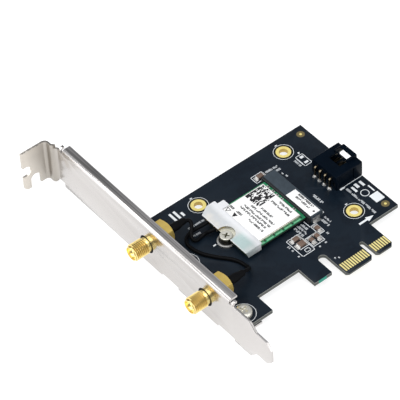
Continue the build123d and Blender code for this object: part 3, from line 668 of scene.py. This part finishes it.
def makeLowHeadScrew(look):
    bm = solidCopy("module_screw")
    middle = Vector((look["middle"][0] * mm, look["middle"][1] * mm, 0))
    rim = [v for v in bm.verts if (v.co - middle).xy.length > look["beyond"] * mm]
    bmesh.ops.scale(bm, verts=rim, vec=(look["gain"], look["gain"], 1), space=Matrix.Translation(-middle))
    easeEdges(bm, look["ease"])
    return meshPiece("moduleScrew", bm, "screw_steel", ["module_screw"], material=lowHeadFinish)


makeLowHeadScrew(lowHeadScrew)
print("module screw set")


# flat face through the corners, pulled out along one way
def pullFace(bm, corners, way):
    face = bm.faces.new([bm.verts.new(inMetres(corner)) for corner in corners])
    pulled = bmesh.ops.extrude_face_region(bm, geom=[face])["geom"]
    ends = [v for v in pulled if isinstance(v, bmesh.types.BMVert)]
    bmesh.ops.translate(bm, verts=ends, vec=inMetres(way))


# film over the plugs, with its rear edge lying down on the label
plugFilm = {
    "ease": 0.09,
    "lip": [(29.7, 4.13), (30.0, 4.06), (30.3, 3.72), (30.34, 3.61), (30.1, 3.61), (29.7, 3.8)],  # x and z
    "lipSpan": (14.5, 35.1),
}


def makeFilm(look):
    bm = solidCopy("plug_cover")
    easeEdges(bm, look["ease"])
    low, high = look["lipSpan"]
    pullFace(bm, [(x, low, z) for x, z in look["lip"]], (0, high - low, 0))
    bmesh.ops.recalc_face_normals(bm, faces=bm.faces[:])
    return meshPiece("plugFilm", bm, "cover", ["plug_cover"])


makeFilm(plugFilm)
print("film laid")

# thin gold stays as it is
for node in ("edge_contacts_front", "edge_contacts_back", "plated_eyelets", "module_contacts", "socket_contacts"):
    nodes[node].data.materials.clear()
    nodes[node].data.materials.append(fingerFinish if node.startswith("edge") else finishes["gold"])


# antenna connectors: the solid's square body and spigot, with a turned and threaded barrel
antennaConnector = {
    "barrel": [
        (-6.8, 2.3), (-6.8, 2.6), (-6.6, 2.72), (-6.5, 2.66), (-1.3, 2.66), (-1.1, 2.75), (0.9, 2.75), (0.9, 2.05),
        (-4.6, 2.05), (-4.6, 2.3),
    ],
    "shoulder": 0.865,       # the body starts behind the bracket's sheet
    "ease": 0.1,
    "pitch": 0.7056,
    "crest": 3.1,
    "root": 2.6,
    "flat": 0.07,            # half of the crest's flat
    "threadStart": -6.7,
    "turns": 7.4,
    "steps": 40,
}


def spinProfile(bm, profile, centre, axis, steps):
    if axis == "X":
        points = [(along * mm, centre.y, centre.z + radius * mm) for along, radius in profile]
    else:
        points = [(centre.x + radius * mm, centre.y, along * mm) for along, radius in profile]
    verts = [bm.verts.new(point) for point in points]
    edges = [bm.edges.new((verts[i], verts[(i + 1) % len(verts)])) for i in range(len(verts))]
    bmesh.ops.spin(
        bm, geom=verts + edges, cent=centre, axis=(1, 0, 0) if axis == "X" else (0, 0, 1), dvec=(0, 0, 0),
        angle=math.tau, steps=steps, use_merge=True,
    )


def makeAntenna(name, node, y, look):
    centre = Vector((0, y * mm, antennaHeight * mm))
    bm = solidCopy(node)
    everything = bm.verts[:] + bm.edges[:] + bm.faces[:]
    bmesh.ops.bisect_plane(
        bm, geom=everything, dist=0.0000001, plane_co=(look["shoulder"] * mm, 0, 0), plane_no=(1, 0, 0),
        clear_inner=True,
    )
    rim = [e for e in bm.edges if len(e.link_faces) == 1]
    bmesh.ops.triangle_fill(bm, edges=rim, use_beauty=True, use_dissolve=False)
    bmesh.ops.recalc_face_normals(bm, faces=bm.faces[:])
    easeEdges(bm, look["ease"])
    spinProfile(bm, look["barrel"], centre, "X", look["steps"])
    # thread ridge, one face swept along the helix
    half = look["pitch"] * 0.5
    ridge = [(-half, look["root"]), (-look["flat"], look["crest"]), (look["flat"], look["crest"]), (half, look["root"])]
    start = look["threadStart"] + half
    face = bm.faces.new([bm.verts.new(((start + x) * mm, centre.y, centre.z + r * mm)) for x, r in ridge])
    bmesh.ops.spin(
        bm, geom=[face] + face.edges[:] + face.verts[:], cent=centre, axis=(1, 0, 0),
        dvec=(look["pitch"] / look["steps"] * mm, 0, 0), angle=math.tau * look["turns"],
        steps=round(look["steps"] * look["turns"]),
    )
    bmesh.ops.recalc_face_normals(bm, faces=bm.faces[:])
    return meshPiece(name, bm, "connector_gold", [node], smooth=32)


for side, (number, y) in antennaAxes.items():
    makeAntenna("antenna" + side, "antenna_connector_" + number, y, antennaConnector)
print("antenna connectors threaded")


# pieces turned on an antenna's axis
def turnedPiece(name, look, y, replaced=()):
    bm = bmesh.new()
    spinProfile(bm, look["profile"], Vector((0, y * mm, antennaHeight * mm)), "X", look["steps"])
    bmesh.ops.recalc_face_normals(bm, faces=bm.faces[:])
    return meshPiece(name, bm, "heat_shrink", replaced, smooth=look["smooth"])


# painted shade: a dark ring in the bracket's hole, round each barrel, for the shaded gap there
barrelGasket = {
    "profile": [(0.06, 2.77), (0.06, 3.49), (0.8, 3.49), (0.8, 2.77)],   # x and radius
    "steps": 40,
    "smooth": 34,
}
for side, (number, y) in antennaAxes.items():
    turnedPiece("gasket" + side, barrelGasket, y)
print("gaskets set")


# shrink sleeves, drawn in over the crimp and down to the cable
shrinkSleeve = {
    "profile": [             # x and radius
        (9.36, 1.32), (9.36, 1.5), (9.5, 1.59), (10.4, 1.6), (12.9, 1.59), (13.5, 1.53), (14.1, 1.36), (15.0, 1.22),
        (16.1, 1.14), (16.45, 1.06), (16.56, 0.95), (16.56, 0.7), (13.8, 0.7), (13.4, 1.31),
    ],
    "steps": 36,
    "smooth": 40,
}
for side, (number, y) in antennaAxes.items():
    turnedPiece("sleeve" + side, shrinkSleeve, y, ["heat_shrink_" + number])
print("sleeves shrunk on")


# thin flat shapes: bars, strokes, frames, rings, discs and patches in mm, from one height to another
def addBar(bm, middle, size, span, turn=0.0):
    place = Matrix.Translation((middle[0] * mm, middle[1] * mm, (span[0] + span[1]) / 2 * mm))
    shape = Matrix.Diagonal((size[0] * mm, size[1] * mm, (span[1] - span[0]) * mm, 1))
    bmesh.ops.create_cube(bm, size=1, matrix=place @ Matrix.Rotation(turn, 4, "Z") @ shape)


def addStroke(bm, start, end, width, span):
    run = Vector(end) - Vector(start)
    addBar(bm, (Vector(start) + Vector(end)) / 2, (run.length + width, width), span, math.atan2(run.y, run.x))


def addFrame(bm, corner, size, width, span):
    (x, y), (w, h) = corner, size
    corners = [(x, y), (x + w, y), (x + w, y + h), (x, y + h)]
    for i in range(4):
        addStroke(bm, corners[i], corners[(i + 1) % 4], width, span)


def addRing(bm, middle, radii, span, steps=48):
    inner, outer = radii
    profile = [(span[0], inner), (span[0], outer), (span[1], outer), (span[1], inner)]
    spinProfile(bm, profile, Vector((middle[0] * mm, middle[1] * mm, 0)), "Z", steps)


def addDisc(bm, middle, radius, span):
    place = Matrix.Translation((middle[0] * mm, middle[1] * mm, (span[0] + span[1]) / 2 * mm))
    bmesh.ops.create_cone(
        bm, cap_ends=True, segments=24, radius1=radius * mm, radius2=radius * mm, depth=(span[1] - span[0]) * mm,
        matrix=place,
    )


def addPatch(bm, corners, span):
    pullFace(bm, [(x, y, span[0]) for x, y in corners], (0, 0, span[1] - span[0]))


# plain ticks in the rhythm of small print, as shares of the row's height
tickRhythm = {"wide": (0.25, 0.55), "tall": (1.0, 1.0, 0.6), "gap": 0.13, "space": 0.45, "group": 6, "spare": 0.2}


def addTicks(bm, start, end, height, span, draw):
    run = Vector(end) - Vector(start)
    ahead = run.normalized()
    across = Vector((-ahead.y, ahead.x))
    reach, count = 0.0, 0
    while reach < run.length - tickRhythm["spare"]:
        wide = height * draw.uniform(*tickRhythm["wide"])
        tall = draw.choice(tickRhythm["tall"])
        middle = Vector(start) + ahead * (reach + wide / 2) + across * draw.choice((-0.5, 0.5)) * (1 - tall) * height
        addBar(bm, middle, (wide, tall * height), span, math.atan2(run.y, run.x))
        count += 1
        reach += wide + height * tickRhythm["gap" if count % tickRhythm["group"] else "space"]


def flatPiece(name, bm, slot, material=None):
    bmesh.ops.recalc_face_normals(bm, faces=bm.faces[:])
    return meshPiece(name, bm, slot, material=material)


# white print on the board
boardPrint = {
    "span": (-0.01, 0.02),
    "holes": [(27.1, 45.05), (65.5, 45.05), (65.5, 7.7)],
    "holeRing": (3.52, 3.68),
    "holeTick": (0.0, 4.15, 0.9, 0.4),          # place beside the ring, size
    "screws": [(7.6, -2.75), (7.6, 27.0)],
    "screwRing": (4.14, 4.32),
    "mark": ((73.9, 11.6), (1.35, 1.6)),        # middle, radii
    "arrow": [(62.7, 1.45), (66.2, 1.45), (66.2, 0.75), (69.2, 1.85), (66.2, 2.95), (66.2, 2.25), (62.7, 2.25)],
    "bars": [                                   # middle, size
        ((75.8, 7.5), (3.8, 4.0)), ((77.05, 11.85), (0.55, 3.3)),
        ((74.4, 18.45), (8.4, 0.24)), ((69.4, 18.25), (2.0, 0.75)),
        ((76.1, 15.7), (1.0, 2.6)), ((74.0, 16.0), (1.2, 2.2)), ((72.2, 15.2), (0.9, 2.8)),
        ((68.7, 39.0), (1.4, 1.1)), ((68.5, 36.2), (1.6, 0.9)), ((69.2, 41.2), (0.6, 0.7)), ((66.7, 37.6), (0.24, 3.4)),
        ((57.35, 15.2), (0.25, 2.0)), ((56.8, 14.1), (1.2, 0.25)),
        ((42.0, 6.25), (3.8, 0.26)), ((49.3, 13.6), (0.26, 3.4)),
        ((19.6, 27.0), (1.2, 0.5)),
        ((16.9, 46.4), (0.9, 4.0)), ((18.7, 46.4), (0.9, 4.0)), ((20.5, 45.4), (0.9, 2.0)),
    ],
    "specks": [                                 # middle, size, in grey
        ((58.6, 37.4), (0.5, 0.9)), ((59.0, 35.6), (0.6, 1.0)), ((46.5, -4.2), (0.5, 0.7)), ((47.6, -4.9), (0.5, 0.7)),
        ((37.8, 9.9), (0.75, 0.45)), ((37.8, 9.2), (0.75, 0.35)), ((37.8, 7.6), (0.6, 0.7)), ((37.7, 4.3), (0.7, 0.6)),
        ((52.0, 6.3), (0.8, 0.35)), ((52.0, 5.7), (0.8, 0.35)), ((48.8, 3.2), (0.8, 0.6)), ((46.1, 3.1), (0.7, 0.6)),
    ],
    "frames": [                                 # corner, size
        ((66.9, 34.9), (3.0, 5.3)), ((48.8, 39.6), (4.8, 3.4)),
        ((38.8, 3.3), (5.2, 8.9)), ((41.0, 4.0), (1.9, 1.4)), ((44.4, 4.4), (5.0, 4.5)), ((49.5, 7.4), (2.4, 4.6)),
    ],
    "frameWidth": 0.23,
    "rows": [                                   # start, end, height
        ((70.4, 17.2), (70.4, 2.0), 0.95), ((65.7, 39.3), (65.7, 35.8), 0.8),
        ((54.4, 41.6), (59.8, 41.4), 0.95), ((54.4, 39.9), (59.8, 39.7), 0.95),
        ((59.9, 22.6), (59.9, 17.6), 1.1), ((54.6, 12.4), (54.6, 8.2), 1.0), ((56.2, 12.4), (56.2, 9.2), 0.8),
        ((44.9, 15.0), (44.9, 10.4), 1.0), ((46.4, 15.2), (46.4, 10.6), 1.0), ((47.9, 15.0), (47.9, 12.0), 1.0),
        ((17.6, 38.7), (24.4, 38.5), 0.8), ((15.4, 35.0), (20.0, 34.8), 0.8),
    ],
}


def makeBoardPrint(look):
    bm, text, draw, span = bmesh.new(), bmesh.new(), random.Random(7), look["span"]
    for x, y in look["holes"]:
        addRing(bm, (x, y), look["holeRing"], span)
        dx, dy, wide, tall = look["holeTick"]
        addBar(bm, (x + dx, y + dy), (wide, tall), span)
    for place in look["screws"]:
        addRing(bm, place, look["screwRing"], span)
    addRing(bm, *look["mark"], span)
    for middle, size in look["bars"]:
        addBar(bm, middle, size, span)
    for corner, size in look["frames"]:
        addFrame(bm, corner, size, look["frameWidth"], span)
    for start, end, height in look["rows"]:
        addTicks(text, start, end, height, span, draw)
    for middle, size in look["specks"]:
        addBar(text, middle, size, span)
    addPatch(bm, look["arrow"], span)
    flatPiece("boardPrint", bm, "label", inks["whiteInk"])
    flatPiece("boardText", text, "label", inks["greyInk"])


makeBoardPrint(boardPrint)

# black print on the module's label and on the socket's sticker
labelPrint = {
    "span": (3.595, 3.615),
    "code": {"corner": (39.8, 28.1), "cells": (23, 20), "cell": 0.352, "filled": 0.56},
    "rowHeight": 0.9,
    "rows": [                                   # x, first y, last y
        (33.9, 26.0, 18.4), (35.6, 32.5, 18.9), (37.0, 32.1, 18.3), (38.7, 30.3, 18.2), (40.5, 27.1, 21.0),
        (45.2, 27.3, 18.1), (46.9, 25.2, 18.2),
    ],
    "solidMark": [(30.45, 30.7), (32.35, 31.75), (32.1, 29.6)],
    "openMark": [(30.6, 34.2), (32.2, 35.0), (32.0, 33.2)],
    "openWidth": 0.26,
    "markRows": [((33.2, 35.0), (33.2, 33.0)), ((33.3, 31.6), (33.3, 28.8))],
    "stickerSpan": (3.295, 3.315),
    "stickerRows": [(54.4, 23.8, 16.2), (53.0, 23.6, 16.6)],
    "stickerDot": ((53.1, 14.4), 0.42),         # middle, radius
}


def makeLabelPrint(look):
    bm, draw, span = bmesh.new(), random.Random(11), look["span"]
    code = look["code"]
    for row in range(code["cells"][1]):
        column = 0
        while column < code["cells"][0]:
            run = min(draw.randint(1, 3), code["cells"][0] - column)
            if draw.random() < code["filled"]:
                x = code["corner"][0] + (column + run / 2) * code["cell"]
                y = code["corner"][1] + (row + 0.5) * code["cell"]
                addBar(bm, (x, y), (run * code["cell"], code["cell"]), span)
            column += run
    for x, first, last in look["rows"]:
        addTicks(bm, (x, first), (x, last), look["rowHeight"], span, draw)
    for start, end in look["markRows"]:
        addTicks(bm, start, end, look["rowHeight"], span, draw)
    addPatch(bm, look["solidMark"], span)
    for i in range(3):
        addStroke(bm, look["openMark"][i - 1], look["openMark"][i], look["openWidth"], span)
    for x, first, last in look["stickerRows"]:
        addTicks(bm, (x, first), (x, last), look["rowHeight"], look["stickerSpan"], draw)
    addDisc(bm, *look["stickerDot"], look["stickerSpan"])
    flatPiece("labelPrint", bm, "chip", inks["blackInk"])


makeLabelPrint(labelPrint)

# bare copper and mask: alignment dots, clearance rings, solder pads
boardPads = {
    "dots": [(75.7, 47.7), (75.8, 3.2)],
    "dotRadius": 0.5,
    "dotRing": (0.5, 1.5),
    "holeGap": (2.8, 3.7),
    "tinned": [                                  # middle, size
        ((40.0, 10.7), (1.3, 1.9)), ((43.5, 10.7), (1.2, 1.9)), ((40.0, 7.8), (1.3, 2.3)), ((43.8, 7.8), (1.2, 2.3)),
        ((45.7, 5.5), (1.7, 1.2)), ((45.7, 8.2), (1.7, 1.1)), ((48.2, 5.5), (1.7, 1.2)), ((48.2, 8.5), (1.7, 1.1)),
        ((50.7, 8.2), (1.7, 1.2)), ((50.7, 11.1), (1.7, 1.2)), ((49.9, 41.3), (1.3, 2.0)), ((53.3, 41.3), (1.2, 2.0)),
    ],
    "dotSpan": (-0.01, 0.04),
    "ringSpan": (-0.01, 0.012),
    "gapSpan": (-0.01, 0.01),
    "tinnedSpan": (-0.01, 0.05),
}


def makeBoardPads(look):
    dots, rings, gaps, tinned = (bmesh.new() for n in range(4))
    for place in look["dots"]:
        addDisc(dots, place, look["dotRadius"], look["dotSpan"])
        addRing(rings, place, look["dotRing"], look["ringSpan"])
    for place in boardPrint["holes"]:
        addRing(gaps, place, look["holeGap"], look["gapSpan"])
    for middle, size in look["tinned"]:
        addBar(tinned, middle, size, look["tinnedSpan"])
    flatPiece("alignmentDots", dots, "gold")
    flatPiece("alignmentRings", rings, "board", inks["bareLaminate"])
    flatPiece("holeClearance", gaps, "board", inks["darkLaminate"])
    flatPiece("solderPads", tinned, "tin")


makeBoardPads(boardPads)

# the module's own margin: pads and holes in a row, the screw's plated ring, small parts beside the socket
moduleTrim = {
    "padRow": {"first": 30.5, "last": 46.6, "pitch": 4.0, "size": (3.0, 0.6), "y": 15.34, "span": (2.29, 2.33)},
    "viaRow": {"first": 32.5, "y": 15.66, "radius": 0.3, "span": (2.29, 2.335)},
    "screwPad": {"middle": moduleScrewAt, "radii": (2.0, 5.0), "steps": 24, "span": (2.29, 2.34)},
    "parts": [(49.2, 33.9), (49.2, 31.2), (49.15, 28.9), (49.2, 26.6), (49.15, 20.1)],
    "partSize": (0.7, 1.3, 0.4),
    "partEnd": 0.42,
    "bodyShare": 0.94,       # of the ends' width and height
    "floor": 2.3,
}


def makeModuleTrim(look):
    row = look["padRow"]
    pads = bmesh.new()
    count = int((row["last"] - row["first"]) / row["pitch"]) + 1
    for n in range(count):
        addBar(pads, (row["first"] + n * row["pitch"], row["y"]), row["size"], row["span"])
    flatPiece("modulePads", pads, "module_green", inks["paleMask"])
    via = look["viaRow"]
    vias = bmesh.new()
    for n in range(count):
        addDisc(vias, (via["first"] + n * row["pitch"], via["y"]), via["radius"], via["span"])
    flatPiece("moduleVias", vias, "chip", inks["blackInk"])
    pad = look["screwPad"]
    (x, y), (inner, outer), (bottom, top) = pad["middle"], pad["radii"], pad["span"]
    plated = bmesh.new()
    section = [(outer, bottom), (inner, bottom), (inner, top), (outer, top)]
    face = plated.faces.new([plated.verts.new((x * mm, (y - r) * mm, z * mm)) for r, z in section])
    bmesh.ops.spin(
        plated, geom=[face] + face.edges[:] + face.verts[:], cent=(x * mm, y * mm, 0), axis=(0, 0, 1), dvec=(0, 0, 0),
        angle=math.pi, steps=pad["steps"],
    )
    flatPiece("screwPad", plated, "tin", inks["paleSolder"])
    bodies, ends = bmesh.new(), bmesh.new()
    wide, long, tall = look["partSize"]
    low, share = look["floor"], look["bodyShare"]
    for x, y in look["parts"]:
        addBar(bodies, (x, y), (wide * share, long - look["partEnd"]), (low, low + tall * share))
        for side in (-1, 1):
            addBar(ends, (x, y + side * (long - look["partEnd"]) / 2), (wide, look["partEnd"]), (low, low + tall))
    flatPiece("modulePartBodies", bodies, "chip")
    flatPiece("modulePartEnds", ends, "tin")


makeModuleTrim(moduleTrim)
print("prints and pads set down")


# floor, light and world
studio = {
    "floor": -5.2,           # mm, under the screw tips
    "floorSize": 3.0,        # m
    "floorMiddle": (0.03, 0.03),
    "floorColour": (0.36, 0.36, 0.36),
    "floorGlow": 0.8,
    "world": (0.42, 0.43, 0.45),
    "worldStrength": 0.72,
    "lamps": {
        "overheadBox": {"at": (-0.25, -0.15, 0.9), "aim": (0.03, 0.03, 0), "size": (0.9, 0.9), "watts": 7.5},
        "leftBox": {"at": (-0.85, 0.55, 0.42), "aim": (0.02, 0.03, 0), "size": (1.0, 0.8), "watts": 4.6},
        "backBox": {"at": (-0.34, 0.62, 0.86), "aim": (0.02, 0.03, 0), "size": (0.6, 0.4), "watts": 1.9},
        "frontBox": {"at": (0.35, -0.8, 0.45), "aim": (0.03, 0.02, 0), "size": (0.7, 0.6), "watts": 2.6},
    },
}


def lightStudio(look):
    bm = bmesh.new()
    bmesh.ops.create_grid(bm, x_segments=2, y_segments=2, size=look["floorSize"] / 2)
    bmesh.ops.translate(bm, verts=bm.verts[:], vec=(*look["floorMiddle"], look["floor"] * mm))
    mesh = bpy.data.meshes.new("paleFloor")
    bm.to_mesh(mesh)
    bm.free()
    floor = bpy.data.objects.new("paleFloor", mesh)
    bpy.context.scene.collection.objects.link(floor)
    glow = {"Emission Color": (1, 1, 1, 1), "Emission Strength": look["floorGlow"]}
    material, shader, place = startFinish("paleFloor", {"Roughness": 0.9, "Specular IOR Level": 0.1, **glow})
    grain = noise(place, 40, 2.0)
    feed(shader, colour=tint(grain, rgb(look["floorColour"], 0.995), rgb(look["floorColour"], 1.005)))
    mesh.materials.append(material)
    world = bpy.data.worlds.new("studioWorld")
    world.use_nodes = True
    world.node_tree.nodes["Background"].inputs["Color"].default_value = (*look["world"], 1)
    world.node_tree.nodes["Background"].inputs["Strength"].default_value = look["worldStrength"]
    bpy.context.scene.world = world
    for name, lamp in look["lamps"].items():
        data = bpy.data.lights.new(name, "AREA")
        data.shape = "RECTANGLE"
        data.size, data.size_y = lamp["size"]
        data.energy = lamp["watts"]
        light = bpy.data.objects.new(name, data)
        light.location = lamp["at"]
        light.rotation_euler = (Vector(lamp["aim"]) - Vector(lamp["at"])).to_track_quat("-Z", "Y").to_euler()
        bpy.context.scene.collection.objects.link(light)
    bpy.context.scene.view_settings.view_transform = "Standard"


lightStudio(studio)
print("studio lit")
